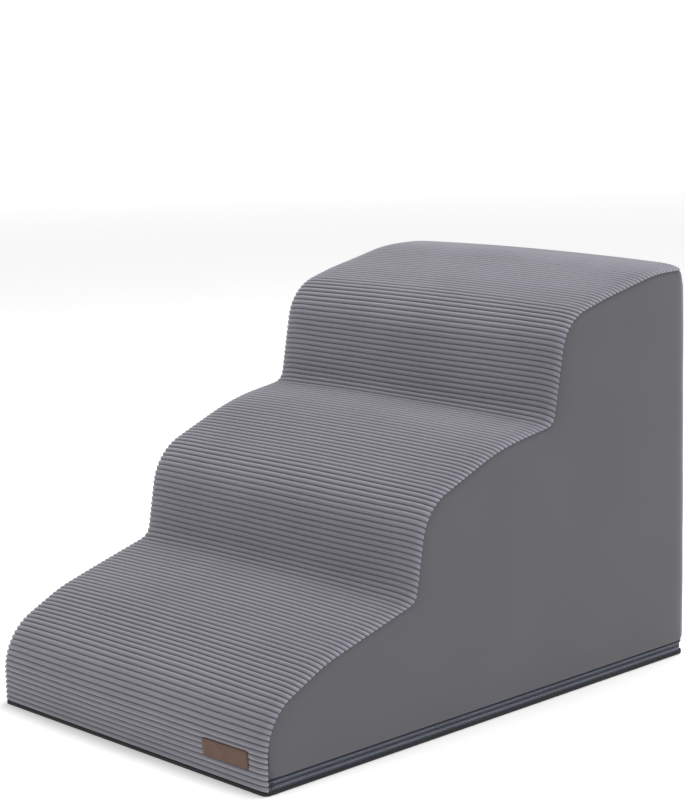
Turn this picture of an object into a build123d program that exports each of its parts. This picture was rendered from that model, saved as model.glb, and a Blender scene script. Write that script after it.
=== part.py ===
from build123d import *
from collections import namedtuple
import os

# A stepped foam ramp for a dog, inside a zipped cloth cover. Millimetres, +Z up, origin in the
# middle of the base. The low end faces -Y, the dog climbs towards +Y, and +X is its right hand.
# The base cloth and the lower half of the zip are one flap, hinged along the front foot.

# Overall size of the covered ramp.
body_width = 400
body_length = 600
body_height = 415

# The side outline, step by step: the tread's run and the rise from its riser's foot to its end,
# how far the riser leans back, then how far below the tread's end its nose lies, and how far
# before and below that end the tread eases off. Each turn has its radius. The third step takes
# what the first two and the level stretch at the top leave of the length and the height.
Step = namedtuple("Step", "run rise lean nose_drop nose_radius ease_back ease_drop ease_radius end_radius")
first_step = Step(190, 143, 0, 69.5, 63, 114, 32.5, 166, 9)
second_step = Step(195, 139, 16, 53, 60, 72.5, 10.5, 288, 8)
top_level = 52
third_step = Step(
    body_length - first_step.run - second_step.run - top_level,
    body_height - first_step.rise - second_step.rise,
    20, 33, 52, 84, 17, 300, 200,
)
back_top_radius = 23

# Cloth and foam.
cover_cloth = 2.0
base_cloth = 0.9
comfort_foam_thickness = 18
fit_gap = 0.3

# The cover's long edges are rolled over, and the side seam lies this far in from the outline.
edge_roll = 14
seam_drop = 5

# Zipped band round the foot of both sides and the back, set back under the hem of the walls.
# The coils lie behind the tapes, so only the tapes and the slider show.
band_depth = 3.0
band_top = 14.3
hem_height = 2
zip_centre_height = 8.8
zip_split = 0.8
tape_thickness = 0.6
upper_tape_top = 20
coil_thickness = 1.2
coil_height = 1.6
zip_front_gap = 10
rim_height = 4
rim_thickness = 1.0
rim_front_gap = 6
base_front_gap = 1
rebate_height = 22

# Stops, slider and pull.
stop_length = 3
stop_thickness = 1.2
stop_height = 1.8
slider_length = 11
slider_height = 7.4
slider_plate = 0.8
slider_gap = 0.3
neck_thickness = 0.4
neck_length = 4
travel_gap = 1
ear_thickness = 0.8
ear_gap = 0.1
pin_radius = 0.35
pin_clearance = 0.05
eye_radius = 0.75
eye_width = 3.0
eye_side_gap = 0.2
pull_length = 24
pull_width = 5.6
pull_thickness = 0.9
pull_neck_length = 4
pull_hole_radius = 1.4

# Leather label on the front, plain, its back let into the squashed ribs.
label_width = 62
label_height = 17
label_thickness = 1.0
label_corner = 1.5
label_centre_x = 148
label_centre_height = 29.5

# Places that follow from the sizes above.
half_width = body_width / 2
front = -body_length / 2
back = body_length / 2
body_foot = base_cloth + fit_gap
foam_inset = cover_cloth + fit_gap
beyond = 40
tape_back = band_depth + tape_thickness
coil_back = tape_back + coil_thickness
rebate_inset = coil_back + slider_gap + slider_plate + slider_gap
rim_inset = band_depth - fit_gap - rim_thickness
lower_tape_top = zip_centre_height - zip_split / 2
upper_tape_foot = zip_centre_height + zip_split / 2
zip_front = front + zip_front_gap
slider_centre_y = zip_front + stop_length + travel_gap + slider_length / 2
slider_face_x = -(half_width - band_depth + slider_gap + slider_plate)
slider_back_x = -(half_width - coil_back - slider_gap)
pin_x = slider_face_x - eye_side_gap - eye_radius


def side_view(inset, back_inset, foot):
    """The side outline as a face, drawn in by inset, cut square at the foot and the back."""
    along, height = front, 0
    points, radii = [], []
    for step in (first_step, second_step, third_step):
        end_along, end_height = along + step.run, height + step.rise
        points += [
            (along + step.lean, end_height - step.nose_drop),
            (end_along - step.ease_back, end_height - step.ease_drop),
            (end_along, end_height),
        ]
        radii += [step.nose_radius, step.ease_radius, step.end_radius]
        along, height = end_along, end_height
    points += [(back + beyond, body_height), (back + beyond, -beyond), (front, -beyond)]
    radii += [0, 0, 0]
    with BuildSketch() as view:
        with BuildLine():
            FilletPolyline(*points, radius=radii, close=True)
        make_face()
        if inset:
            offset(amount=-inset, kind=Kind.INTERSECTION)
        with Locations((-back_inset / 2, (foot + body_height) / 2)):
            Rectangle(body_length - back_inset, body_height - foot, mode=Mode.INTERSECT)
        if back_inset >= 0 and back_top_radius > inset:
            top_back = view.vertices().group_by(Axis.X)[-1].sort_by(Axis.Y)[-1]
            fillet(top_back, radius=back_top_radius - inset)
    return view.sketch


def body_block(inset):
    """The whole covered shape drawn in by inset, its long edges rolled over on both sides."""
    with BuildPart() as block:
        with BuildSketch(Plane.YZ):
            add(side_view(inset, inset, body_foot))
        extrude(amount=half_width - inset, both=True)
        for side in (Axis.X, -Axis.X):
            outline = block.faces().sort_by(side)[-1].edges()
            fillet(outline.sort_by(Axis.Z)[1:], radius=edge_roll - inset)
    return block.part


def foot_plan(inset, front_gap):
    """The footprint drawn in by inset, with round corners at the back and square ones in front."""
    corner = edge_roll - inset if edge_roll > inset + 1 else 1
    with BuildSketch() as plan:
        with BuildLine():
            FilletPolyline(
                (-half_width + inset, front + front_gap),
                (-half_width + inset, back - inset),
                (half_width - inset, back - inset),
                (half_width - inset, front + front_gap),
                radius=[0, corner, corner, 0],
                close=True,
            )
        make_face()
    return plan.sketch


def band_strip(outer_inset, inner_inset, low, high, front_gap):
    """An upright strip that runs up one side, across the back and down the other side."""
    with BuildPart() as strip:
        with BuildSketch(Plane.XY.offset(low)):
            add(foot_plan(outer_inset, front_gap))
            add(foot_plan(inner_inset, front_gap - beyond), mode=Mode.SUBTRACT)
        extrude(amount=high - low)
    return strip.part


def wall_zone():
    """The space inside the seams. The cover's skin is thinner than the seam drop, so only the
    walls of the skin reach into it, and the strip over the treads stays outside."""
    with BuildPart() as zone:
        with BuildSketch(Plane.YZ):
            add(side_view(seam_drop, -beyond / 2, body_foot - beyond / 2))
        extrude(amount=body_width, both=True)
    return zone.part


def zip_stops(low, high):
    """A small metal stop at each end of one half of the zip."""
    outer = half_width - band_depth + stop_thickness
    with BuildPart() as stops:
        for side in (1, -1):
            with Locations((side * (half_width - band_depth), zip_front, low)):
                Box(
                    stop_thickness,
                    stop_length,
                    high - low,
                    align=(Align.MIN if side > 0 else Align.MAX, Align.MIN, Align.MIN),
                )
        fillet(
            stops.edges().filter_by(Axis.Z).filter_by(lambda edge: abs(edge.center().X) > outer - 0.1),
            radius=stop_thickness / 3,
        )
    return stops.part


def foam_trimmed(block):
    """A foam block cut back round its foot, where the zipped band presses into it."""
    with BuildPart() as foam:
        add(block)
        ring = band_strip(-beyond, rebate_inset, -beyond, rebate_height, -beyond)
        add(ring, mode=Mode.SUBTRACT)
    return foam.part


with BuildPart() as cover_skin:
    add(body_block(0))
    add(body_block(cover_cloth), mode=Mode.SUBTRACT)
    Box(
        body_width - 2 * cover_cloth,
        body_length - 2 * cover_cloth,
        2 * (body_foot + cover_cloth),
        mode=Mode.SUBTRACT,
    )

# Ribbed cloth in one strip, from the front foot over the treads to the back edge.
with BuildPart() as tread_panel:
    add(cover_skin.part)
    add(wall_zone(), mode=Mode.SUBTRACT)
    with BuildSketch(Plane.XZ.offset(-front - label_thickness)):
        with Locations((label_centre_x, label_centre_height)):
            RectangleRounded(label_width, label_height, label_corner)
    extrude(amount=label_thickness, mode=Mode.SUBTRACT)
tread_panel.part.label = "tread_panel"

# Plain cloth in one piece round the sides and the back, with its hem turned in to the zip.
with BuildPart() as side_and_back_panel:
    add(cover_skin.part)
    add(wall_zone(), mode=Mode.INTERSECT)
    with Locations((0, 0, band_top / 2)):
        Box(2 * body_width, 2 * body_length, band_top, mode=Mode.SUBTRACT)
    add(band_strip(0, band_depth, band_top, band_top + hem_height, zip_front_gap))
side_and_back_panel.part.label = "side_and_back_panel"

# Plain leather label, sewn flat on the front.
with BuildPart() as label:
    with BuildSketch(Plane.XZ.offset(-front - label_thickness)):
        with Locations((label_centre_x, label_centre_height)):
            RectangleRounded(label_width, label_height, label_corner)
    extrude(amount=label_thickness)
label.part.label = "label"

# Firm foam core, and the soft layer that is glued on it along the treads.
with BuildPart() as core_zone:
    with BuildSketch(Plane.YZ):
        add(side_view(foam_inset + comfort_foam_thickness, 0, body_foot - beyond))
    extrude(amount=body_width, both=True)

with BuildPart() as foam_core:
    add(foam_trimmed(body_block(foam_inset)))
    add(core_zone.part, mode=Mode.INTERSECT)
foam_core.part.label = "foam_core"

with BuildPart() as comfort_layer:
    add(foam_trimmed(body_block(foam_inset)))
    add(core_zone.part, mode=Mode.SUBTRACT)
comfort_layer.part.label = "comfort_layer"

# Zip: two tapes with a coil sewn on each, and a stop at each end of each coil.
coil_front_gap = zip_front_gap + stop_length
with BuildPart() as zip_tape_upper:
    add(band_strip(band_depth, tape_back, upper_tape_foot, upper_tape_top, zip_front_gap))
zip_tape_upper.part.label = "zip_tape_upper"

with BuildPart() as zip_tape_lower:
    add(band_strip(band_depth, tape_back, base_cloth, lower_tape_top, zip_front_gap))
zip_tape_lower.part.label = "zip_tape_lower"

with BuildPart() as zip_coil_upper:
    coil_top = upper_tape_foot + coil_height
    add(band_strip(tape_back, coil_back, upper_tape_foot, coil_top, coil_front_gap))
zip_coil_upper.part.label = "zip_coil_upper"

with BuildPart() as zip_coil_lower:
    coil_foot = lower_tape_top - coil_height
    add(band_strip(tape_back, coil_back, coil_foot, lower_tape_top, coil_front_gap))
zip_coil_lower.part.label = "zip_coil_lower"

with BuildPart() as zip_stops_upper:
    add(zip_stops(upper_tape_foot, upper_tape_foot + stop_height))
zip_stops_upper.part.label = "zip_stops_upper"

with BuildPart() as zip_stops_lower:
    add(zip_stops(lower_tape_top - stop_height, lower_tape_top))
zip_stops_lower.part.label = "zip_stops_lower"

# Base cloth with its edge turned up along the zip.
with BuildPart() as base_panel:
    with BuildSketch():
        add(foot_plan(rim_inset, base_front_gap))
    extrude(amount=base_cloth)
    front_edges = base_panel.edges().filter_by(Axis.Z).group_by(Axis.Y)[0]
    fillet(front_edges, radius=edge_roll)
    add(band_strip(rim_inset, rim_inset + rim_thickness, base_cloth, rim_height, rim_front_gap))
base_panel.part.label = "base_panel"

# Slider: two plates joined by a thin neck in the split of the zip, with ears for the pull's pin.
with BuildPart() as zip_slider:
    for plate_x in (slider_face_x, slider_back_x):
        with BuildSketch(Plane.YZ.offset(plate_x)):
            with Locations((slider_centre_y, zip_centre_height)):
                RectangleRounded(slider_length, slider_height, slider_height / 4)
        extrude(amount=slider_plate)
    with Locations((slider_face_x, slider_centre_y, zip_centre_height)):
        Box(
            slider_back_x - slider_face_x,
            neck_length,
            neck_thickness,
            align=(Align.MIN, Align.CENTER, Align.CENTER),
        )
    for side in (1, -1):
        ear_low = zip_centre_height + side * (eye_width / 2 + ear_gap)
        with BuildSketch(Plane.XY.offset(ear_low)):
            with Locations((pin_x, slider_centre_y)):
                Circle(eye_radius)
            with Locations(((pin_x + slider_face_x) / 2, slider_centre_y)):
                Rectangle(slider_face_x - pin_x, 2 * eye_radius)
        extrude(amount=side * ear_thickness)
    with Locations((pin_x, slider_centre_y, zip_centre_height)):
        Cylinder(pin_radius, eye_width + 2 * ear_gap + 2 * ear_thickness)
zip_slider.part.label = "zip_slider"

# Pull: an eye round the pin, a short neck and a flat tab with a hole near its end.
with BuildPart() as zip_pull:
    with Locations((pin_x, slider_centre_y, zip_centre_height)):
        Cylinder(eye_radius, eye_width)
    with BuildSketch(Plane.YZ.offset(pin_x)):
        with Locations((slider_centre_y + pull_neck_length / 2, zip_centre_height)):
            Rectangle(pull_neck_length, eye_width)
        tab_length = pull_length - pull_neck_length
        tab_centre = slider_centre_y + pull_neck_length + tab_length / 2 - pull_width / 8
        with Locations((tab_centre, zip_centre_height)):
            RectangleRounded(tab_length, pull_width, pull_width / 3)
        with Locations((slider_centre_y + pull_length - pull_width / 2, zip_centre_height)):
            Circle(pull_hole_radius, mode=Mode.SUBTRACT)
    extrude(amount=pull_thickness / 2, both=True)
    with Locations((pin_x, slider_centre_y, zip_centre_height)):
        Cylinder(pin_radius + pin_clearance, 2 * eye_width, mode=Mode.SUBTRACT)
zip_pull.part.label = "zip_pull"

pieces = (
    tread_panel,
    side_and_back_panel,
    label,
    foam_core,
    comfort_layer,
    zip_tape_upper,
    zip_tape_lower,
    zip_coil_upper,
    zip_coil_lower,
    zip_stops_upper,
    zip_stops_lower,
    base_panel,
    zip_slider,
    zip_pull,
)
os.makedirs("parts", exist_ok=True)
for piece in pieces:
    export_step(piece.part, f"parts/{piece.part.label}.step")
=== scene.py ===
import bpy
import math
import numpy as np
from collections import namedtuple
from mathutils import Matrix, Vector
from mathutils.geometry import delaunay_2d_cdt


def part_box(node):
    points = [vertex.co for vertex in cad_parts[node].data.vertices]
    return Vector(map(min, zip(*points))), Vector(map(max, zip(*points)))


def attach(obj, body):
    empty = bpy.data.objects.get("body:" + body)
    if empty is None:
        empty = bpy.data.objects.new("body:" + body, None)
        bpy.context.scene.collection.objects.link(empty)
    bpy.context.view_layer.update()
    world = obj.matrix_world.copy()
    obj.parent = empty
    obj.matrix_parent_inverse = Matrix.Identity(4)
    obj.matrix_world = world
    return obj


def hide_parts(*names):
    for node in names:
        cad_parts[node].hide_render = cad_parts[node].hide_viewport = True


# A stepped foam ramp for a dog in a zipped cloth cover. Metres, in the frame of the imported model:
# the low end faces -Y, the back stands at +Y, and the floor is Z = 0.
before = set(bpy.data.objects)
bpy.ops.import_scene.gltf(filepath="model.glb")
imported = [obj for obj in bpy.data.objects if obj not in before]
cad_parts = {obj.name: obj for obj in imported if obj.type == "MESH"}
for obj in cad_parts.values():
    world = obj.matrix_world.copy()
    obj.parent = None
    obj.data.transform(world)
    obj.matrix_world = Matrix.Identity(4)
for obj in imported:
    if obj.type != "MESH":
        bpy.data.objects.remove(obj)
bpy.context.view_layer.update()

wall_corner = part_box("side_and_back_panel")[1]
half_width = wall_corner.x
back = wall_corner.y
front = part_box("tread_panel")[0].y
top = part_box("tread_panel")[1].z

# The side outline, step by step, in the CAD's own sizes: the run and the rise of each step, how far
# its riser leans back, then the nose and the easing of the tread before the step's end. At mid-width
# the cloth bridges the foot of each riser with the radius that stands last.
Step = namedtuple(
    "Step",
    "run rise lean nose_drop nose_radius ease_back ease_drop ease_radius end_radius bridge_radius",
)
STEPS = (
    Step(0.190, 0.143, 0, 0.0695, 0.063, 0.114, 0.0325, 0.166, 0.009, 0.022),
    Step(0.195, 0.139, 0.016, 0.053, 0.060, 0.0725, 0.0105, 0.288, 0.008, 0.021),
    Step(0.163, 0.133, 0.020, 0.033, 0.052, 0.084, 0.017, 0.300, 0.200, 0.200),
)

# The edge at the top of the back is sharper than the CAD's.
BACK_TOP_RADIUS = 0.011

# The ribbed cloth rolls down over SIDE_ROLL to a seam SEAM_DROP below it. Its middle is crowned,
# more and more up to the height of CROWN_FOOT.
SEAM_DROP = 0.005
SIDE_ROLL = 0.027
CROWN = 0.0035
CROWN_FOOT = 0.045

# Corners in plan: of the walls, and of the ribbed cloth at the back.
CORNER_RADIUS = 0.014
TOP_CORNER_RADIUS = 0.011

# Points on each arc of the outline, and how far to either side its outward direction looks.
ARC_POINTS = 60
LOOK_ALONG = 0.004

# Ribbed cloth. The phases are where the rows of points lie across one rib. Shade is painted into the
# grooves between ribs: a rib takes its full colour only from FULL_CREST up. A highlight is painted on
# its tip by the seam, which is lighter over TIP_WIDTH. Near the foot and the back seam the ribs run
# straight over END_CALM.
RIB_PITCH = 0.0055
RIB_HEIGHT = 0.0021
RIB_PHASES = (0, 0.06, 0.18, 0.34, 0.5, 0.66, 0.82, 0.94)
FULL_CREST = 0.75
TIP_WIDTH = 0.009
TIP_PAINTED_HIGHLIGHT = 0.4
END_CALM = 0.03
CLOTH_THICKNESS = 0.0026

# By the seam the ribs are lower, over EDGE_FADE. The label presses them down by PRESS_SHARE of their
# height and PRESS_DEPTH more, and this fades out over PRESS_REACH round it.
EDGE_FADE = 0.006
EDGE_RIB_SHARE = 0.86
PRESS_SHARE = 0.75
PRESS_DEPTH = 0.0004
PRESS_REACH = 0.002

# The height where the ribbed cloth starts, and where its front is drawn in, up to TUCK_HEIGHT.
CORD_FOOT = 0.0036
FOOT_Y = front + 0.0015
TUCK_HEIGHT = 0.062

# Plain cloth. It is pinched in at the seam and swells a little in the middle of each wall, and only
# the back and its corners, this share of the way round either side of the middle, lean in to the
# seam. Points lie in rings under the seam, in rows over the hem, and in a grid between them.
WALL_THICKNESS = 0.0012
SEAM_PINCH = 0.0023
PINCH_REACH = 0.006
WALL_SWELL = 0.0012
BACK_SHARE = 0.2
RING_DEPTHS = (0.0015, 0.0035, 0.0065)
HEM_ROWS = (0.0148, 0.0158, 0.0173, 0.0195)
GRID_FOOT = 0.0235
GRID_SPACING = 0.009
GRID_CLEARANCE = 0.0095
HEM_CLEARANCE = 0.021
END_CLEARANCE = 0.001

# Zip band round the foot. The hem is rounded in by HEM_ROUND over a height of HEM_RISE.
HEM_HEIGHT = 0.0143
HEM_ROUND = 0.003
HEM_RISE = 0.009
BINDING_RADIUS = 0.0011
BAND_DEPTH = 0.003
ZIP_START = front + 0.0065

# The base cloth with its turned-up rim, and the dots under it.
BASE_CORNER = 0.006
BASE_INSET = BAND_DEPTH - 0.0021
RIM_THICKNESS = 0.0012
RIM_TOP = 0.0034
BASE_TOP = 0.0011
BASE_UNDERSIDE = 0.0003
BASE_NOSE_GAP = 0.0003
DOT_SPACING = 0.011
DOT_RADIUS = 0.0021
DOT_MARGIN = 0.012
DOT_SIDES = 8
DOT_HEIGHTS = (0.0005, 0.0001)

# Zip tapes, with the heights of their edges, then the half length and radius of stitches and coils.
TAPE_THICKNESS = 0.0006
TAPE_RIDGE = 0.00012
TAPE_BEAD = 0.0004
UPPER_TAPE = (0.0092, 0.0195)
LOWER_TAPE = (0.0010, 0.0084)
STITCH_SIZE = (0.0012, 0.00034)
STITCH_SPACING = 0.0029
STITCH_TILT = 0.6
UPPER_STITCH_HEIGHT = 0.0116
LOWER_STITCH_HEIGHT = 0.0060
UPPER_COIL_HEIGHT = 0.0101
LOWER_COIL_HEIGHT = 0.0075
COIL_SIZE = (0.00085, 0.00042)
COIL_SPACING = 0.0013
COIL_INSET = BAND_DEPTH + 2 * TAPE_THICKNESS

# Stitches and the turns of a coil are beads. Their rings lie at these shares of the half length.
BEAD_RINGS = (-1, -0.7, 0, 0.7, 1)
BEAD_SIDES = 6

# How far the foam stays inside its CAD outline, under the treads and at the sides, how deep below
# the cloth it is drawn in, how uneven its cut sides are, and how many points are measured at once.
FOAM_CLEARANCE = 0.0012
FOAM_SIDE_GAP = 0.0022
FOAM_REACH = 0.03
FOAM_UNEVENNESS = 0.0008
BLOCK_POINTS = 4000

# The label: its back lies LABEL_DEPTH below the tips of the ribs round it, and its face stands out
# by its thickness and LABEL_PROUD. It thins at the rim, and stitching is pressed in round its face.
LABEL_CENTRE = (0.1465, 0.0295)
LABEL_SIZE = (0.062, 0.017)
LABEL_THICKNESS = 0.0011
LABEL_CORNER = 0.0016
LABEL_DEPTH = 0.0012
LABEL_PROUD = 0.0004
LABEL_EDGE_SHARE = 0.55
LABEL_EDGE_WIDTH = 0.0012
LABEL_STITCH_INSET = 0.0022
LABEL_STITCH_WIDTH = 0.0006
LABEL_STITCH_DEPTH = 0.00025

# The room: a square floor inside a round glowing wall.
FLOOR_HALF_SIZE = 6
BACKDROP_RADIUS = 5.5
BACKDROP_HEIGHT = 1.8
BACKDROP_SIDES = 48

# The camera looks down by its pitch, in degrees, from the front right.
CAMERA_PLACE = (1.64477, -1.55142, 0.71157)
CAMERA_AZIMUTH = 46.8
CAMERA_PITCH = 10.5
CAMERA_ROLL = -1.4


def make_object(name, points, faces, smooth=True):
    """A mesh object from points and faces."""
    mesh = bpy.data.meshes.new(name)
    mesh.from_pydata([tuple(map(float, p)) for p in points], [], [tuple(map(int, f)) for f in faces])
    mesh.validate()
    mesh.update()
    mesh.polygons.foreach_set("use_smooth", [smooth] * len(mesh.polygons))
    made = bpy.data.objects.new(name, mesh)
    bpy.context.scene.collection.objects.link(made)
    return made


def apply_modifiers(piece):
    """Turns the piece's modifiers into plain mesh."""
    bpy.context.view_layer.update()
    evaluated = piece.evaluated_get(bpy.context.evaluated_depsgraph_get())
    mesh = bpy.data.meshes.new_from_object(evaluated)
    piece.modifiers.clear()
    piece.data = mesh


def set_values(piece, name, values):
    """Stores one number per vertex, which a material reads by name."""
    attribute = piece.data.attributes.new(name, "FLOAT", "POINT")
    attribute.data.foreach_set("value", np.asarray(values, np.float32).ravel())


# ---------------------------------------------------------------- the outline

def rounded_outline(points, radii, last_share):
    """Points along a polyline with round corners, the length at each point, and the length at the
    start, the middle of each arc and the end. The last arc stops after last_share of its turn, and
    the outline ends there."""
    points = [np.array(p, float) for p in points]
    line = [points[0]]
    middles = []
    for number, radius in enumerate(radii):
        before, corner, after = points[number:number + 3]
        into = (corner - before) / np.linalg.norm(corner - before)
        out = (after - corner) / np.linalg.norm(after - corner)
        cross = into[0] * out[1] - into[1] * out[0]
        turn = math.atan2(abs(cross), float(into @ out))
        inward = np.array([-into[1], into[0]]) * math.copysign(1, cross)
        start = corner - into * radius * math.tan(turn / 2)
        centre = start + inward * radius
        last = number == len(radii) - 1
        middles.append((len(line), radius * turn / 2))
        for angle in np.linspace(0, turn * (last_share if last else 1), ARC_POINTS):
            line.append(centre + radius * (into * math.sin(angle) - inward * math.cos(angle)))
    line = np.array(line)
    lengths = np.concatenate([[0], np.cumsum(np.linalg.norm(np.diff(line, axis=0), axis=1))])
    knots = [0] + [lengths[index] + half for index, half in middles[:-1]] + [lengths[-1]]
    return line, lengths, np.array(knots)


def outline_corners(foot_radius):
    """The outline's corners and radii, with the named radius at the foot of each riser. It starts
    and ends below the floor."""
    along, height = front, 0
    corners = [(front, -1)]
    radii = []
    for step in STEPS:
        end_along, end_height = along + step.run, height + step.rise
        corners += [
            (along + step.lean, end_height - step.nose_drop),
            (end_along - step.ease_back, end_height - step.ease_drop),
            (end_along, end_height),
        ]
        radii += [step.nose_radius, step.ease_radius, getattr(step, foot_radius)]
        along, height = end_along, end_height
    corners += [(back, top), (back, -1)]
    radii.append(BACK_TOP_RADIUS)
    return corners, radii


def drawn_in(corners, radii, inset):
    """Corners and radii of the outline that lies inside the given one by inset."""
    corners = [np.array(c, float) for c in corners]
    drawn = []
    changed = []
    for number, radius in enumerate(radii):
        before, corner, after = corners[number:number + 3]
        into = (corner - before) / np.linalg.norm(corner - before)
        out = (after - corner) / np.linalg.norm(after - corner)
        cross = into[0] * out[1] - into[1] * out[0]
        right = np.array([into[1], -into[0]]) + np.array([out[1], -out[0]])
        drawn.append(corner + right * inset / (1 + float(into @ out)))
        changed.append(radius - inset if cross < 0 else radius + inset)
    return [(front + inset, -1)] + drawn + [(back - inset, -1)], changed


def trimmed(outline, foot):
    """The outline with its start moved up to the foot height."""
    line, lengths, knots = outline
    cut = foot - line[0][1]
    line = line.copy()
    line[0][1] = foot
    lengths = np.maximum(lengths - cut, 0)
    return line, lengths, np.maximum(knots - cut, 0)


# The last arc stops where the seam along the back lies SEAM_DROP below the top.
END_SHARE = math.acos(1 - SEAM_DROP / BACK_TOP_RADIUS) / (math.pi / 2)
bridged = outline_corners("bridge_radius")
seamed = drawn_in(*outline_corners("end_radius"), SEAM_DROP)
middle_outline = trimmed(rounded_outline(*bridged, END_SHARE), CORD_FOOT)
seam_outline = trimmed(rounded_outline(*seamed, END_SHARE), CORD_FOOT)
back_seam_y = seam_outline[0][-1][0]


def on_outline(outline, length):
    """The place on the outline at a length along it."""
    line, lengths, _ = outline
    return np.interp(length, lengths, line[:, 0]), np.interp(length, lengths, line[:, 1])


def outward_along(outline, length):
    """The outline's outward direction, smoothed a little, at a length along it."""
    before, after = on_outline(outline, length - LOOK_ALONG), on_outline(outline, length + LOOK_ALONG)
    along_y, along_z = after[0] - before[0], after[1] - before[1]
    size = np.sqrt(along_y**2 + along_z**2)
    return -along_z / size, along_y / size


def narrowed(y, radius, end):
    """How much of its full width the cover has at y, where its back corners are rounded in plan."""
    past = np.clip(y - (end - radius), 0, radius * 0.999)
    return (half_width - radius + np.sqrt(radius**2 - past**2)) / half_width


def cover_surface(length, x):
    """Where the ribbed cloth lies, for a length along the outline and a place across it. Towards
    each side it rolls down to the seam."""
    roll = np.clip((np.abs(x) - (half_width - SIDE_ROLL)) / SIDE_ROLL, 0, 1)
    share = 1 - np.sqrt(1 - roll**2)
    middle_y, middle_z = on_outline(middle_outline, length)
    seam_length = np.interp(length, middle_outline[2], seam_outline[2])
    seam_y, seam_z = on_outline(seam_outline, seam_length)
    y = middle_y + (seam_y - middle_y) * share
    z = middle_z + (seam_z - middle_z) * share
    fullness = CROWN * (1 - (x / half_width) ** 2) * np.clip(z / CROWN_FOOT, 0, 1)
    out_y, out_z = outward_along(middle_outline, length)
    y = y + out_y * fullness
    z = z + out_z * fullness
    tuck = np.clip(1 - z / TUCK_HEIGHT, 0, 1) ** 2 * (y < FOOT_Y + 0.02)
    y = y + tuck * np.maximum(FOOT_Y - y, 0)
    x = x * narrowed(y, TOP_CORNER_RADIUS, back_seam_y)
    return np.stack(np.broadcast_arrays(x, y, z), axis=-1)


# ---------------------------------------------------------------- ribbed cloth over the treads

def columns_across():
    """Places across the ribbed cloth, closer together where it rolls over."""
    angles = np.radians([0, 12, 24, 35, 45, 54, 62, 69, 75, 80, 84, 87, 90])
    roll = half_width - SIDE_ROLL + SIDE_ROLL * np.sin(angles)
    middle = np.linspace(-roll[0], roll[0], 23)[1:-1]
    return np.concatenate([-roll[::-1], middle, roll])


def waviness(length, x):
    """Slow unevenness of the rib lines, as cloth pulled over foam has."""
    return (
        0.0003 * np.sin(x * 11 + length * 31)
        + 0.00014 * np.sin(x * 31 - length * 17 + 1.3)
        + 0.00006 * np.sin(x * 97 + length * 83 + 0.4)
    )


def label_press(points):
    """1 under the label, where it presses the ribs down, and 0 clear of it."""
    across = np.abs(points[..., 0] - LABEL_CENTRE[0]) - LABEL_SIZE[0] / 2
    up = np.abs(points[..., 2] - LABEL_CENTRE[1]) - LABEL_SIZE[1] / 2
    outside = np.maximum(across, up) / PRESS_REACH
    return np.clip(1 - outside, 0, 1) * (points[..., 1] < 0)


def outward(base):
    """Normals of a grid of points whose rows run up the outline and columns run across."""
    along = np.gradient(base, axis=0)
    across = np.gradient(base, axis=1)
    normal = np.cross(across, along)
    return normal / np.linalg.norm(normal, axis=-1, keepdims=True)


def ribbed_cloth():
    """The corduroy strip, from the front foot over the treads to the seam along the back, and the
    length along the outline at each groove."""
    total = middle_outline[1][-1]
    ribs = round(total / RIB_PITCH)
    pitch = total / ribs
    phase = np.tile(RIB_PHASES, ribs)
    number = np.repeat(np.arange(ribs), len(RIB_PHASES))
    length = np.append((number + phase) * pitch, total)
    phase = np.append(phase, 0)
    across = columns_across()
    x, s = np.meshgrid(across, length)
    ends = np.clip(np.minimum(s, total - s) / END_CALM, 0, 1)
    base = cover_surface(np.clip(s + waviness(s, x) * ends, 0, total), x)
    normal = outward(base)
    wale = np.abs(np.sin(math.pi * phase)) ** 0.75
    edge = np.clip((half_width - np.abs(x)) / EDGE_FADE, 0, 1) ** 0.5
    press = label_press(base)
    share = EDGE_RIB_SHARE + (1 - EDGE_RIB_SHARE) * edge
    tall = RIB_HEIGHT * share * (1 - PRESS_SHARE * press)
    height = wale[:, None] * tall - RIB_HEIGHT - PRESS_DEPTH * press
    height = height + 0.0001 * np.sin(x * 29 + s * 67) * ends
    outer = base + normal * height[..., None]
    inner = (base - normal * CLOTH_THICKNESS)[:: len(RIB_PHASES)]
    rows, cols = outer.shape[:2]
    inner_rows = inner.shape[0]
    points = np.concatenate([outer.reshape(-1, 3), inner.reshape(-1, 3)])
    outer_at = np.arange(rows * cols).reshape(rows, cols)
    inner_at = rows * cols + np.arange(inner_rows * cols).reshape(inner_rows, cols)
    faces = []
    for grid, turned in ((outer_at, False), (inner_at, True)):
        corners = [grid[:-1, :-1], grid[:-1, 1:], grid[1:, 1:], grid[1:, :-1]]
        quads = np.stack([c.ravel() for c in corners], axis=1)
        faces += (quads[:, ::-1] if turned else quads).tolist()
    for column, turned in ((0, False), (cols - 1, True)):
        for rib in range(inner_rows - 1):
            first = rib * len(RIB_PHASES)
            end = outer_at[first:first + len(RIB_PHASES) + 1, column].tolist()
            face = end + [inner_at[rib + 1, column], inner_at[rib, column]]
            faces.append(face[::-1] if turned else face)
    for outer_row, inner_row, turned in ((0, 0, True), (rows - 1, inner_rows - 1, False)):
        for column in range(cols - 1):
            face = [
                outer_at[outer_row, column], outer_at[outer_row, column + 1],
                inner_at[inner_row, column + 1], inner_at[inner_row, column],
            ]
            faces.append(face[::-1] if turned else face)
    cloth = make_object("corduroy_cover", points, faces)
    # Painted light per point: painted shade towards 0 in the grooves, full colour at 1 on the ribs,
    # and a painted highlight above 1 on the rib tips by the seam.
    tip = np.clip((np.abs(x) - (half_width - TIP_WIDTH)) / TIP_WIDTH, 0, 1)
    painted_rib_light = np.clip(wale / FULL_CREST, 0, 1)[:, None] * (1 + TIP_PAINTED_HIGHLIGHT * tip)
    set_values(cloth, "painted_rib_light", np.concatenate([painted_rib_light.ravel(), np.zeros(inner_rows * cols)]))
    return cloth, length[:: len(RIB_PHASES)]


# ---------------------------------------------------------------- plain cloth round the sides and back

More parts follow.
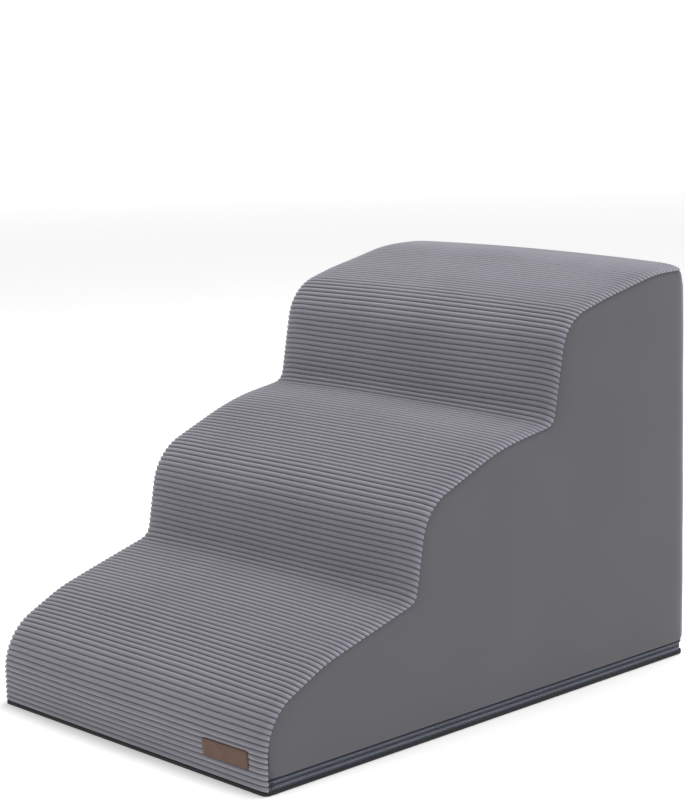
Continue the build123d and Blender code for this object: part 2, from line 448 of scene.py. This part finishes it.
def foot_path(inset, start_y, spacing=0.004):
    """Points round the foot, from the front of the right side, round the back, to the front of the
    left side, with the outward direction and the length at each."""
    radius = CORNER_RADIUS - inset
    side, rear = half_width - inset, back - inset
    side_end, rear_end = side - radius, rear - radius
    along_side = np.linspace(start_y, rear_end, round((rear_end - start_y) / spacing))
    along_rear = np.linspace(side_end, 0, round(side_end / spacing))[1:]
    places = [(side, y, 1, 0) for y in along_side]
    for angle in np.linspace(0, math.pi / 2, 9)[1:]:
        out = (math.cos(angle), math.sin(angle))
        places.append((side_end + radius * out[0], rear_end + radius * out[1], *out))
    places += [(x, rear, 0, 1) for x in along_rear]
    places = np.array(places)
    mirrored = places[-2::-1] * (-1, 1, -1, 1)
    places = np.concatenate([places, mirrored])
    steps = np.linalg.norm(np.diff(places[:, :2], axis=0), axis=1)
    return places[:, :2], places[:, 2:], np.concatenate([[0], np.cumsum(steps)])


def wall_top(rib_lengths):
    """The wall's top edge: where the ribbed cloth ends, up one side, across the back and down."""
    side = cover_surface(rib_lengths, np.full(len(rib_lengths), half_width))
    total = middle_outline[1][-1]
    across = np.linspace(half_width, -half_width, 61)[1:-1]
    rear = cover_surface(np.full(len(across), total), across)
    return np.concatenate([side, rear, side[::-1] * (-1, 1, 1)])


def flat_edge(edge, path, path_length):
    """The wall's top edge in the flat cut: the length round the foot below it, and its height."""
    total = path_length[-1]
    right_end = np.searchsorted(path[:len(path) // 2, 1], back - CORNER_RADIUS)
    corner_start = path_length[right_end]
    steps = np.linalg.norm(np.diff(edge[:, :2], axis=0), axis=1)
    top_steps = np.concatenate([[0], np.cumsum(steps)])
    middle = len(edge) // 2
    seam_turn = np.argmax(edge[:, 1] > back_seam_y - TOP_CORNER_RADIUS)
    flat_x = np.where(
        np.arange(len(edge)) <= seam_turn,
        (edge[:, 1] - ZIP_START) * corner_start / (edge[seam_turn, 1] - ZIP_START),
        0,
    )
    share = (top_steps - top_steps[seam_turn]) / (top_steps[middle] - top_steps[seam_turn])
    rear = slice(seam_turn + 1, middle + 1)
    flat_x[rear] = corner_start + share[rear] * (total / 2 - corner_start)
    flat_x[middle + 1:] = total - flat_x[:middle][::-1][: len(edge) - middle - 1]
    return np.stack([flat_x, edge[:, 2]], axis=1)


def points_inside(outline, path_length):
    """Points of the flat cut inside its rim: a grid, rows over the hem and rings under the seam."""
    total = path_length[-1]
    tangent = np.gradient(outline, axis=0)
    tangent /= np.linalg.norm(tangent, axis=1, keepdims=True) + 1e-9
    below = np.stack([tangent[:, 1], -tangent[:, 0]], axis=1)
    across = np.arange(0.004, total, GRID_SPACING)
    up = np.arange(GRID_FOOT, top, GRID_SPACING)
    grid = np.stack(np.meshgrid(across, up), axis=-1)
    rows = [np.stack([path_length, np.full(len(path_length), z)], axis=1) for z in HEM_ROWS]
    inside = np.concatenate([grid.reshape(-1, 2), *rows])
    ceiling = np.interp(inside[:, 0], *monotonic(outline))
    kept = [inside[(distance_to(inside, outline) > GRID_CLEARANCE) & (inside[:, 1] < ceiling)]]
    for depth in RING_DEPTHS:
        ring = outline + below * depth
        clear = distance_to(ring, outline) > depth * 0.93
        within = np.abs(ring[:, 0] - total / 2) < total / 2 - END_CLEARANCE
        kept.append(ring[clear & within & (ring[:, 1] > HEM_CLEARANCE)])
    return np.concatenate(kept)


def plain_cloth(rib_lengths):
    """One piece of cloth round the right side, the back and the left side. It is cut flat, as the
    real one is, with the length round the foot across and the height up, then wrapped round."""
    edge = wall_top(rib_lengths)
    edge = edge[edge[:, 2] > HEM_HEIGHT + 0.002]
    path, out, path_length = foot_path(0, ZIP_START)
    outline = flat_edge(edge, path, path_length)
    bottom = np.stack([path_length[::-1], np.full(len(path_length), HEM_HEIGHT)], axis=1)
    rim = np.concatenate([outline, bottom])
    points = np.concatenate([rim, points_inside(outline, path_length)])
    count = len(rim)
    loop = [(i, (i + 1) % count) for i in range(count)]
    result = delaunay_2d_cdt([tuple(p) for p in points], loop, [], 1, 1e-6)
    flat = np.array([tuple(p) for p in result[0]])
    faces = [tuple(f) for f in result[2]]
    return wrapped(flat, faces, outline, edge[:, :2], path, out, path_length)


def monotonic(outline):
    """The top edge as a height for each length round the foot, sorted, with no two lengths equal."""
    order = np.argsort(outline[:, 0], kind="stable")
    return outline[order, 0] + np.arange(len(order)) * 1e-9, outline[order, 1]


def distance_to(points, line):
    """The distance of each point from a polyline, whose points are first put close together."""
    dense = []
    for a, b in zip(line, line[1:]):
        parts = max(1, round(float(np.linalg.norm(b - a)) / 0.001))
        dense.append(a + (b - a) * (np.arange(parts) / parts)[:, None])
    dense = np.concatenate(dense + [line[-1:]])
    nearest = np.full(len(points), np.inf)
    for start in range(0, len(dense), 400):
        block = dense[start:start + 400]
        gaps = np.linalg.norm(points[:, None, :] - block[None], axis=2)
        nearest = np.minimum(nearest, gaps.min(axis=1))
    return nearest


def wrapped(flat, faces, outline, edge_xy, path, out, path_length):
    """Bends the flat cut round the body, leans it in to the seam at the top of the back, and gives
    it its fullness, seam pinch and rounded hem."""
    u, z = flat[:, 0], flat[:, 1]
    place = np.stack([np.interp(u, path_length, path[:, i]) for i in (0, 1)], axis=1)
    facing = np.stack([np.interp(u, path_length, out[:, i]) for i in (0, 1)], axis=1)
    facing /= np.linalg.norm(facing, axis=1, keepdims=True)
    keys, heights = monotonic(outline)
    order = np.argsort(outline[:, 0], kind="stable")
    top_xy = np.stack([np.interp(u, keys, edge_xy[order, i]) for i in (0, 1)], axis=1)
    ceiling = np.interp(u, keys, heights)
    lean = np.clip(((place - top_xy) * facing).sum(axis=1), 0, None)
    from_middle = np.abs(u - path_length[-1] / 2) / path_length[-1]
    lean[(from_middle > BACK_SHARE) & (place[:, 1] < back - CORNER_RADIUS)] = 0
    roll_height = BACK_TOP_RADIUS - SEAM_DROP
    roll_share = 1 - SEAM_DROP / BACK_TOP_RADIUS
    rise = np.clip((z - (ceiling - roll_height)) / roll_height, 0, 1) * roll_share
    full = 1 - math.sqrt(1 - roll_share**2)
    inward = lean * (1 - np.sqrt(1 - rise**2)) / full
    hem = np.clip((HEM_HEIGHT + HEM_RISE - z) / HEM_RISE, 0, 1)
    inward += HEM_ROUND * (1 - np.sqrt(1 - hem**2 * 0.999))
    depth = distance_to(flat, outline)
    inward += SEAM_PINCH * np.exp(-depth / PINCH_REACH)
    bulge = np.clip(np.minimum(depth / 0.09, (z - HEM_HEIGHT) / 0.08), 0, 1)
    side = np.abs(facing[:, 0]) ** 4 + np.abs(facing[:, 1]) ** 4
    swell = WALL_SWELL * np.sin(bulge * math.pi / 2) * side
    swell += 0.0002 * np.sin(u * 38 + z * 25) * np.sin(z * 47 - u * 11) * bulge
    xy = place + facing * (swell - inward)[:, None]
    points = np.concatenate([xy, z[:, None]], axis=1)
    cloth = make_object("side_and_back_cover", points, faces)
    first = cloth.data.polygons[len(faces) // 2]
    if first.normal.x * first.center.x + first.normal.y * first.center.y < 0:
        cloth.data.flip_normals()
    thicken = cloth.modifiers.new("thickness", "SOLIDIFY")
    thicken.thickness = WALL_THICKNESS
    thicken.offset = -1
    apply_modifiers(cloth)
    return cloth


# ---------------------------------------------------------------- zip band

def swept(name, inset, section):
    """A strip round the foot, with a section of (outward, height) points about the given inset."""
    path, out, _ = foot_path(inset, ZIP_START)
    section = np.array(section)
    rings = []
    for place, facing in zip(path, out):
        xy = place + facing * section[:, :1]
        rings.append(np.concatenate([xy, section[:, 1:]], axis=1))
    points = np.concatenate(rings)
    count, size = len(path), len(section)
    at = np.arange(count * size).reshape(count, size)
    faces = []
    for ring in range(count - 1):
        for side in range(size):
            nxt = (side + 1) % size
            faces.append((at[ring, side], at[ring, nxt], at[ring + 1, nxt], at[ring + 1, side]))
    faces.append(at[0][::-1])
    faces.append(at[-1])
    return make_object(name, points, faces)


def band_section(heights, beaded_edge):
    """A thin upright section from low to high, with shallow woven ridges and one beaded edge."""
    low_z, high_z = heights
    ridged = np.linspace(low_z, high_z, 9)
    outer = [(TAPE_RIDGE * (-1) ** i, z) for i, z in enumerate(ridged)]
    turns = [(TAPE_BEAD * math.sin(a), TAPE_BEAD * (1 - math.cos(a))) for a in (0.3, 1.2, 2.2)]
    if beaded_edge == "low":
        outer = [(out, low_z + up) for out, up in turns] + outer[1:-1] + [(0, high_z)]
    else:
        outer = [(0, low_z)] + outer[1:-1] + [(out, high_z - up) for out, up in turns[::-1]]
    return outer + [(-TAPE_THICKNESS, high_z), (-TAPE_THICKNESS, low_z)]


def beads(name, inset, height, size, spacing, tilt):
    """Small elongated beads set along the foot, such as stitches or the turns of a coil. The size is
    half the length and the radius."""
    half_length, radius = size
    path, out, length = foot_path(inset, ZIP_START + 0.003, 0.002)
    ring = [
        (math.cos(a), math.sin(a))
        for a in np.linspace(0, 2 * math.pi, BEAD_SIDES, endpoint=False)
    ]
    last_ring = (len(BEAD_RINGS) - 1) * BEAD_SIDES
    points, faces = [], []
    for along in np.arange(spacing, length[-1], spacing):
        centre = np.array([np.interp(along, length, path[:, i]) for i in (0, 1)])
        facing = np.array([np.interp(along, length, out[:, i]) for i in (0, 1)])
        facing /= np.linalg.norm(facing)
        forward = np.array([-facing[1], facing[0]])
        first = len(points)
        for share in BEAD_RINGS:
            thick = radius * (math.sqrt(1 - share**2) if abs(share) < 1 else 0.25)
            middle_xy = centre + forward * share * half_length * math.cos(tilt)
            middle_z = height + share * half_length * math.sin(tilt)
            for up, outside in ring:
                xy = middle_xy + facing * outside * thick - forward * up * thick * math.sin(tilt)
                points.append((*xy, middle_z + up * thick * math.cos(tilt)))
        for row in range(len(BEAD_RINGS) - 1):
            for k in range(BEAD_SIDES):
                a = first + row * BEAD_SIDES + k
                b = first + row * BEAD_SIDES + (k + 1) % BEAD_SIDES
                faces.append((a, b, b + BEAD_SIDES, a + BEAD_SIDES))
        faces.append([first + k for k in reversed(range(BEAD_SIDES))])
        faces.append([first + last_ring + k for k in range(BEAD_SIDES)])
    return make_object(name, points, faces)


# ---------------------------------------------------------------- label

def leather_label():
    """A plain strip of leather that lies on the pressed ribs and follows the rolled front."""
    width, height = LABEL_SIZE
    columns, rows = 40, 14
    radius = LABEL_CORNER
    grid_u, grid_v = np.meshgrid(np.linspace(-1, 1, columns), np.linspace(-1, 1, rows))
    x, z = grid_u * width / 2, grid_v * height / 2
    over = np.maximum(np.abs(z) - (height / 2 - radius), 0)
    shrink = radius - np.sqrt(np.maximum(radius**2 - over**2, 0))
    x = x * (width / 2 - shrink) / (width / 2)
    place_x, place_z = x + LABEL_CENTRE[0], z + LABEL_CENTRE[1]
    foot_lengths = np.linspace(0, 0.09, 200)
    base = np.zeros((*x.shape, 3))
    for column in range(columns):
        for row in range(rows):
            line = cover_surface(foot_lengths, np.full(len(foot_lengths), place_x[row, column]))
            y = np.interp(place_z[row, column], line[:, 2], line[:, 1])
            base[row, column] = (place_x[row, column], y, place_z[row, column])
    normal = outward(base)
    border = np.minimum(width / 2 - np.abs(x) - shrink, height / 2 - np.abs(z))
    share = LABEL_EDGE_SHARE + (1 - LABEL_EDGE_SHARE) * np.clip(border / LABEL_EDGE_WIDTH, 0, 1) ** 0.5
    past = (border - LABEL_STITCH_INSET) / LABEL_STITCH_WIDTH
    stitch = LABEL_STITCH_DEPTH * np.exp(-(past**2))
    thick = LABEL_THICKNESS * share - stitch
    outer = base + normal * (thick - LABEL_DEPTH + LABEL_PROUD)[..., None]
    inner = base - normal * LABEL_DEPTH
    points = np.concatenate([outer.reshape(-1, 3), inner.reshape(-1, 3)])
    at = np.arange(rows * columns).reshape(rows, columns)
    faces = []
    for row in range(rows - 1):
        for column in range(columns - 1):
            quad = (at[row, column], at[row, column + 1], at[row + 1, column + 1], at[row + 1, column])
            faces.append(quad)
            faces.append(tuple(i + rows * columns for i in quad[::-1]))
    rim = list(at[0]) + list(at[1:, -1]) + list(at[-1, -2::-1]) + list(at[-2:0:-1, 0])
    for a, b in zip(rim, rim[1:] + rim[:1]):
        faces.append((a, a + rows * columns, b + rows * columns, b))
    return make_object("leather_label", points, faces)


# ---------------------------------------------------------------- base flap

def base_cloth():
    """The anti-slip cloth under the ramp, with its turned-up edge."""
    path = foot_path(BASE_INSET, FOOT_Y + BASE_CORNER)[0]
    nose = []
    for angle in np.linspace(math.pi / 2, 0, 7):
        x = half_width - BASE_INSET - BASE_CORNER + BASE_CORNER * math.sin(angle)
        nose.append((x, FOOT_Y + BASE_NOSE_GAP + BASE_CORNER - BASE_CORNER * math.cos(angle)))
    nose = np.array(nose)
    loop = np.concatenate([nose[::-1], path[1:-1], (nose * (-1, 1))])
    count = len(loop)
    to_centre = loop.mean(axis=0) - loop
    inner = loop + to_centre / np.linalg.norm(to_centre, axis=1, keepdims=True) * RIM_THICKNESS
    levels = [
        (inner, BASE_UNDERSIDE), (loop, BASE_UNDERSIDE + 0.0002), (loop, RIM_TOP - 0.0004),
        (loop * 0.9995, RIM_TOP), (inner, RIM_TOP), (inner, BASE_TOP),
    ]
    points = np.concatenate([np.column_stack([ring, np.full(count, z)]) for ring, z in levels])
    faces = []
    for level in range(len(levels) - 1):
        for i in range(count):
            j = (i + 1) % count
            a, b = level * count + i, level * count + j
            faces.append((a, b, b + count, a + count))
    faces.append(list(reversed(range(count))))
    faces.append([(len(levels) - 1) * count + i for i in range(count)])
    return make_object("anti_slip_base", points, faces, smooth=False)


def grip_dots():
    """Low rubber dots in staggered rows under the base cloth."""
    points, faces = [], []
    side = half_width - DOT_MARGIN
    for row in range(int((back - FOOT_Y - 0.02) / DOT_SPACING)):
        y = FOOT_Y + DOT_MARGIN + row * DOT_SPACING
        shift = DOT_SPACING / 2 * (row % 2)
        for x in np.arange(-side + shift, side, DOT_SPACING):
            upper = len(points)
            lower = upper + DOT_SIDES
            for radius, z in zip((DOT_RADIUS, 0.8 * DOT_RADIUS), DOT_HEIGHTS):
                for a in np.linspace(0, 2 * math.pi, DOT_SIDES, endpoint=False):
                    points.append((x + radius * math.cos(a), y + radius * math.sin(a), z))
            for k in range(DOT_SIDES):
                following = (k + 1) % DOT_SIDES
                faces.append((upper + k, lower + k, lower + following, upper + following))
            faces.append([lower + k for k in reversed(range(DOT_SIDES))])
            faces.append([upper + k for k in range(DOT_SIDES)])
    return make_object("grip_dots", points, faces, smooth=False)


# ---------------------------------------------------------------- foam

def foam_piece(name, node, voxel):
    """A cut foam block: the CAD solid remeshed, then drawn in under the cover's rolled edges and
    its foot, with faintly uneven cut faces."""
    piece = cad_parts[node].copy()
    piece.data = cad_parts[node].data.copy()
    piece.name = name
    for key in list(piece.keys()):
        del piece[key]
    piece.parent = None
    bpy.context.scene.collection.objects.link(piece)
    remesh = piece.modifiers.new("remesh", "REMESH")
    remesh.mode = "VOXEL"
    remesh.voxel_size = voxel
    remesh.use_smooth_shade = True
    apply_modifiers(piece)
    places = np.zeros(len(piece.data.vertices) * 3)
    piece.data.vertices.foreach_get("co", places)
    places = places.reshape(-1, 3)
    roll = np.clip((np.abs(places[:, 0]) - (half_width - SIDE_ROLL)) / SIDE_ROLL, 0, 1)
    drop = FOAM_CLEARANCE + SEAM_DROP * (1 - np.sqrt(1 - roll**2))
    line = middle_outline[0]
    along = np.gradient(line, axis=0)
    along /= np.linalg.norm(along, axis=1, keepdims=True)
    inward = np.stack([along[:, 1], -along[:, 0]], axis=1)
    for start in range(0, len(places), BLOCK_POINTS):
        part = places[start:start + BLOCK_POINTS]
        gaps = np.linalg.norm(part[:, None, 1:] - line[None], axis=2)
        nearest = gaps.argmin(axis=1)
        near = np.clip(1 - (gaps.min(axis=1) - 0.006) / FOAM_REACH, 0, 1)
        part[:, 1:] += inward[nearest] * (drop[start:start + BLOCK_POINTS] * near)[:, None]
    places[:, 0] *= 1 - FOAM_SIDE_GAP / half_width
    x, y, z = places.T
    wave = np.sin(x * 210 + y * 90) * np.sin(y * 170 - z * 130)
    places[:, 0] *= 1 - FOAM_UNEVENNESS * (1 + wave)
    foot_y = FOOT_Y + CLOTH_THICKNESS + FOAM_CLEARANCE
    tuck = np.clip(1 - places[:, 2] / TUCK_HEIGHT, 0, 1) ** 2
    places[:, 1] += tuck * np.maximum(foot_y - places[:, 1], 0)
    piece.data.vertices.foreach_set("co", places.ravel())
    piece.data.update()
    return piece


# ---------------------------------------------------------------- materials

def material(name, dark, light, roughness, grain, bump, sheen=0.0, metallic=0.0, mottle=9.0):
    """A procedural material: two close colours mixed by slow mottling, with a fine raised grain."""
    made = bpy.data.materials.new(name)
    made.use_nodes = True
    nodes, links = made.node_tree.nodes, made.node_tree.links
    shader = nodes["Principled BSDF"]
    place = nodes.new("ShaderNodeTexCoord")
    slow = nodes.new("ShaderNodeTexNoise")
    slow.inputs["Scale"].default_value = mottle
    slow.inputs["Detail"].default_value = 4
    fine = nodes.new("ShaderNodeTexNoise")
    fine.inputs["Scale"].default_value = grain
    fine.inputs["Detail"].default_value = 3
    mixed = nodes.new("ShaderNodeMath")
    mixed.operation = "MULTIPLY_ADD"
    mixed.inputs[1].default_value = 0.5
    ramp = nodes.new("ShaderNodeValToRGB")
    ramp.color_ramp.elements[0].color = (*dark, 1)
    ramp.color_ramp.elements[1].color = (*light, 1)
    ramp.color_ramp.elements[0].position = 0.3
    ramp.color_ramp.elements[1].position = 0.72
    half = nodes.new("ShaderNodeMath")
    half.operation = "MULTIPLY"
    half.inputs[1].default_value = 0.5
    raised = nodes.new("ShaderNodeBump")
    raised.inputs["Strength"].default_value = bump
    raised.inputs["Distance"].default_value = 0.0004
    links.new(place.outputs["Object"], slow.inputs["Vector"])
    links.new(place.outputs["Object"], fine.inputs["Vector"])
    links.new(fine.outputs["Fac"], half.inputs[0])
    links.new(slow.outputs["Fac"], mixed.inputs[0])
    links.new(half.outputs[0], mixed.inputs[2])
    links.new(mixed.outputs[0], ramp.inputs["Fac"])
    links.new(ramp.outputs["Color"], shader.inputs["Base Color"])
    links.new(fine.outputs["Fac"], raised.inputs["Height"])
    links.new(raised.outputs["Normal"], shader.inputs["Normal"])
    shader.inputs["Roughness"].default_value = roughness
    shader.inputs["Metallic"].default_value = metallic
    shader.inputs["Sheen Weight"].default_value = sheen
    shader.inputs["Sheen Roughness"].default_value = 0.5
    return made


def paint_groove_shade_and_tip_highlight(made, shade):
    """Paints shade into the grooves between ribs and a highlight on their tips: scales the cloth's
    colour from shade, where the value read is 0 in the grooves, to its own colour at 1 on the ribs,
    and lighter above that as a painted highlight at their tips by the seam."""
    nodes, links = made.node_tree.nodes, made.node_tree.links
    shader = nodes["Principled BSDF"]
    colour = shader.inputs["Base Color"].links[0].from_socket
    painted_rib_light = nodes.new("ShaderNodeAttribute")
    painted_rib_light.attribute_name = "painted_rib_light"
    curve = nodes.new("ShaderNodeMapRange")
    curve.clamp = False
    curve.inputs["To Min"].default_value = shade
    times = nodes.new("ShaderNodeVectorMath")
    times.operation = "SCALE"
    links.new(painted_rib_light.outputs["Fac"], curve.inputs["Value"])
    links.new(colour, times.inputs[0])
    links.new(curve.outputs["Result"], times.inputs["Scale"])
    links.new(times.outputs["Vector"], shader.inputs["Base Color"])


def add_weave(made, scale, turn, depth):
    """Adds fine diagonal threads to a cloth material's bump."""
    nodes, links = made.node_tree.nodes, made.node_tree.links
    shader = nodes["Principled BSDF"]
    place = nodes["Texture Coordinate"]
    turned = nodes.new("ShaderNodeMapping")
    turned.inputs["Rotation"].default_value = turn
    wave = nodes.new("ShaderNodeTexWave")
    wave.inputs["Scale"].default_value = scale
    wave.inputs["Distortion"].default_value = 0.6
    raised = nodes.new("ShaderNodeBump")
    raised.inputs["Strength"].default_value = depth
    raised.inputs["Distance"].default_value = 0.0003
    before = shader.inputs["Normal"].links[0].from_socket
    links.new(place.outputs["Object"], turned.inputs["Vector"])
    links.new(turned.outputs["Vector"], wave.inputs["Vector"])
    links.new(wave.outputs["Fac"], raised.inputs["Height"])
    links.new(before, raised.inputs["Normal"])
    links.new(raised.outputs["Normal"], shader.inputs["Normal"])


corduroy = material(
    "corduroy", (0.152, 0.147, 0.174), (0.208, 0.201, 0.236),
    roughness=0.95, grain=1500, bump=0.35, sheen=0.35,
)
# Paints shade into the rib grooves and a highlight on the rib tips by the seam.
paint_groove_shade_and_tip_highlight(corduroy, shade=0.30)
side_cloth = material(
    "side_cloth", (0.077, 0.076, 0.085), (0.091, 0.090, 0.100),
    roughness=0.92, grain=2300, bump=0.18, sheen=0.20,
)
add_weave(side_cloth, scale=480, turn=(0.3, 0.5, 0.8), depth=0.05)
tape_cloth = material(
    "zip_tape", (0.045, 0.052, 0.070), (0.078, 0.088, 0.112),
    roughness=0.8, grain=2600, bump=0.3, sheen=0.1,
)
add_weave(tape_cloth, scale=420, turn=(0.7, 0.4, 0.7), depth=0.5)
navy_cloth = material(
    "navy_binding", (0.006, 0.008, 0.020), (0.014, 0.018, 0.038),
    roughness=0.8, grain=2600, bump=0.3, sheen=0.05,
)
add_weave(navy_cloth, scale=420, turn=(0.7, 0.4, -0.7), depth=0.4)
stitching = material(
    "stitch_thread", (0.26, 0.29, 0.37), (0.36, 0.39, 0.47),
    roughness=0.7, grain=2600, bump=0.2, sheen=0.2,
)
coil_nylon = material(
    "zip_coil", (0.030, 0.036, 0.058), (0.060, 0.070, 0.105),
    roughness=0.45, grain=900, bump=0.08,
)
zinc = material(
    "zip_metal", (0.035, 0.037, 0.044), (0.075, 0.078, 0.088),
    roughness=0.38, grain=900, bump=0.12, metallic=0.85, mottle=160,
)
leather = material(
    "leather", (0.066, 0.030, 0.016), (0.118, 0.056, 0.031),
    roughness=0.62, grain=950, bump=0.35, sheen=0.05, mottle=70,
)
black_cloth = material(
    "base_cloth", (0.006, 0.006, 0.008), (0.016, 0.016, 0.019),
    roughness=0.9, grain=2000, bump=0.3, sheen=0.05,
)
add_weave(black_cloth, scale=300, turn=(0, 0, 0.8), depth=0.4)
rubber = material(
    "grip_rubber", (0.010, 0.010, 0.011), (0.022, 0.022, 0.024),
    roughness=0.55, grain=700, bump=0.1,
)
firm_foam = material(
    "firm_foam", (0.60, 0.55, 0.42), (0.78, 0.74, 0.62),
    roughness=0.95, grain=420, bump=0.8, sheen=0.05, mottle=25,
)
soft_foam = material(
    "soft_foam", (0.70, 0.67, 0.58), (0.86, 0.84, 0.78),
    roughness=0.95, grain=560, bump=0.7, sheen=0.05, mottle=25,
)
floor_white = material(
    "floor", (0.90, 0.90, 0.90), (0.92, 0.92, 0.92),
    roughness=0.9, grain=40, bump=0.0,
)


def dress(piece, body, slot, made, *replaced):
    """Gives a piece its body and material, and hides the CAD nodes that it stands for. Its slot is not
    used.
    """
    piece.data.materials.clear()
    piece.data.materials.append(made)
    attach(piece, body)
    if replaced:
        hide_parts(*replaced)
    return piece


# ---------------------------------------------------------------- the pieces

corduroy_cover, rib_lengths = ribbed_cloth()
dress(corduroy_cover, "cover", "corduroy", corduroy, "tread_panel")

side_cover = plain_cloth(rib_lengths)
dress(side_cover, "cover", "side_cloth", side_cloth, "side_and_back_panel")

dress(leather_label(), "cover", "leather", leather, "label")

hem_section = [
    (BINDING_RADIUS * math.cos(a), HEM_HEIGHT - 0.0006 + BINDING_RADIUS * math.sin(a))
    for a in np.linspace(0, 2 * math.pi, 8, endpoint=False)
]
dress(swept("hem_binding", BAND_DEPTH - 0.0007, hem_section), "cover", "zip_tape", navy_cloth)

upper_tape = swept("upper_zip_tape", BAND_DEPTH, band_section(UPPER_TAPE, "low"))
dress(upper_tape, "cover", "zip_tape", tape_cloth, "zip_tape_upper")
lower_tape = swept("lower_zip_tape", BAND_DEPTH, band_section(LOWER_TAPE, "high"))
dress(lower_tape, "base_flap", "zip_tape", tape_cloth, "zip_tape_lower")

for piece_name, body, height in (
    ("upper_tape_stitches", "cover", UPPER_STITCH_HEIGHT),
    ("lower_tape_stitches", "base_flap", LOWER_STITCH_HEIGHT),
):
    stitches = beads(piece_name, BAND_DEPTH, height, STITCH_SIZE, STITCH_SPACING, STITCH_TILT)
    dress(stitches, body, "zip_tape", stitching)

for piece_name, body, height, node in (
    ("upper_zip_coil", "cover", UPPER_COIL_HEIGHT, "zip_coil_upper"),
    ("lower_zip_coil", "base_flap", LOWER_COIL_HEIGHT, "zip_coil_lower"),
):
    coil = beads(piece_name, COIL_INSET, height, COIL_SIZE, COIL_SPACING, math.pi / 2)
    dress(coil, body, "zip_coil", coil_nylon, node)

dress(base_cloth(), "base_flap", "base_cloth", black_cloth, "base_panel")
dress(grip_dots(), "base_flap", "base_cloth", rubber)

foam_block = foam_piece("foam_block", "foam_core", voxel=0.006)
dress(foam_block, "cover", "firm_foam", firm_foam, "foam_core")
comfort_foam = foam_piece("comfort_foam", "comfort_layer", voxel=0.005)
dress(comfort_foam, "cover", "soft_foam", soft_foam, "comfort_layer")

for node in ("zip_stops_upper", "zip_stops_lower", "zip_slider", "zip_pull"):
    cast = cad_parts[node]
    cast.data.materials.clear()
    cast.data.materials.append(zinc)


# ---------------------------------------------------------------- floor, light and camera

floor = make_object(
    "floor",
    [(x * FLOOR_HALF_SIZE, y * FLOOR_HALF_SIZE, 0) for x, y in ((-1, -1), (1, -1), (1, 1), (-1, 1))],
    [(0, 1, 2, 3)],
)
floor_shader = floor_white.node_tree.nodes["Principled BSDF"]
floor_shader.inputs["Emission Color"].default_value = (1, 1, 1, 1)
floor_shader.inputs["Emission Strength"].default_value = 0.20
floor.data.materials.append(floor_white)

backdrop_white = bpy.data.materials.new("backdrop")
backdrop_white.use_nodes = True
glow = backdrop_white.node_tree.nodes["Principled BSDF"]
glow.inputs["Base Color"].default_value = (0, 0, 0, 1)
glow.inputs["Emission Color"].default_value = (1, 1, 1, 1)
glow.inputs["Emission Strength"].default_value = 1.0
ring = [
    (BACKDROP_RADIUS * math.cos(a), BACKDROP_RADIUS * math.sin(a))
    for a in np.linspace(0, 2 * math.pi, BACKDROP_SIDES, endpoint=False)
]
walls = []
for side in range(BACKDROP_SIDES):
    following = (side + 1) % BACKDROP_SIDES
    walls.append((side, following, BACKDROP_SIDES + following, BACKDROP_SIDES + side))
backdrop = make_object("backdrop", [(x, y, z) for z in (0, BACKDROP_HEIGHT) for x, y in ring], walls)
backdrop.data.materials.append(backdrop_white)


def softbox(name, place, aim, size, power):
    """A square soft light of that size in metres and power in watts, turned to its aim."""
    light = bpy.data.lights.new(name, "AREA")
    light.size = size
    light.energy = power
    made = bpy.data.objects.new(name, light)
    made.location = place
    direction = np.array(aim, float) - np.array(place, float)
    direction = direction / np.linalg.norm(direction)
    made.rotation_euler = (math.acos(-direction[2]), 0, math.atan2(-direction[0], direction[1]))
    bpy.context.scene.collection.objects.link(made)


softbox("overhead", place=(0.1, 0.6, 2.4), aim=(0, 0, 0.2), size=1.6, power=50)
softbox("key", place=(-0.9, -2.4, 1.9), aim=(0, -0.1, 0.15), size=1.4, power=6)
softbox("side_fill", place=(2.6, 0.3, 1.2), aim=(0, 0, 0.2), size=1.8, power=7)

bpy.context.scene.view_settings.view_transform = "Standard"
world = bpy.data.worlds.new("studio")
world.use_nodes = True
world.node_tree.nodes["Background"].inputs["Color"].default_value = (1, 1, 1, 1)
world.node_tree.nodes["Background"].inputs["Strength"].default_value = 0.62
bpy.context.scene.world = world

camera_data = bpy.data.cameras.new("camera")
camera_data.lens = 102
camera_data.sensor_width = 36
camera = bpy.data.objects.new("camera", camera_data)
camera.matrix_world = (
    Matrix.Translation(CAMERA_PLACE)
    @ Matrix.Rotation(math.radians(CAMERA_AZIMUTH), 4, "Z")
    @ Matrix.Rotation(math.radians(90 - CAMERA_PITCH), 4, "X")
    @ Matrix.Rotation(math.radians(CAMERA_ROLL), 4, "Z")
)
bpy.context.scene.collection.objects.link(camera)
bpy.context.scene.camera = camera
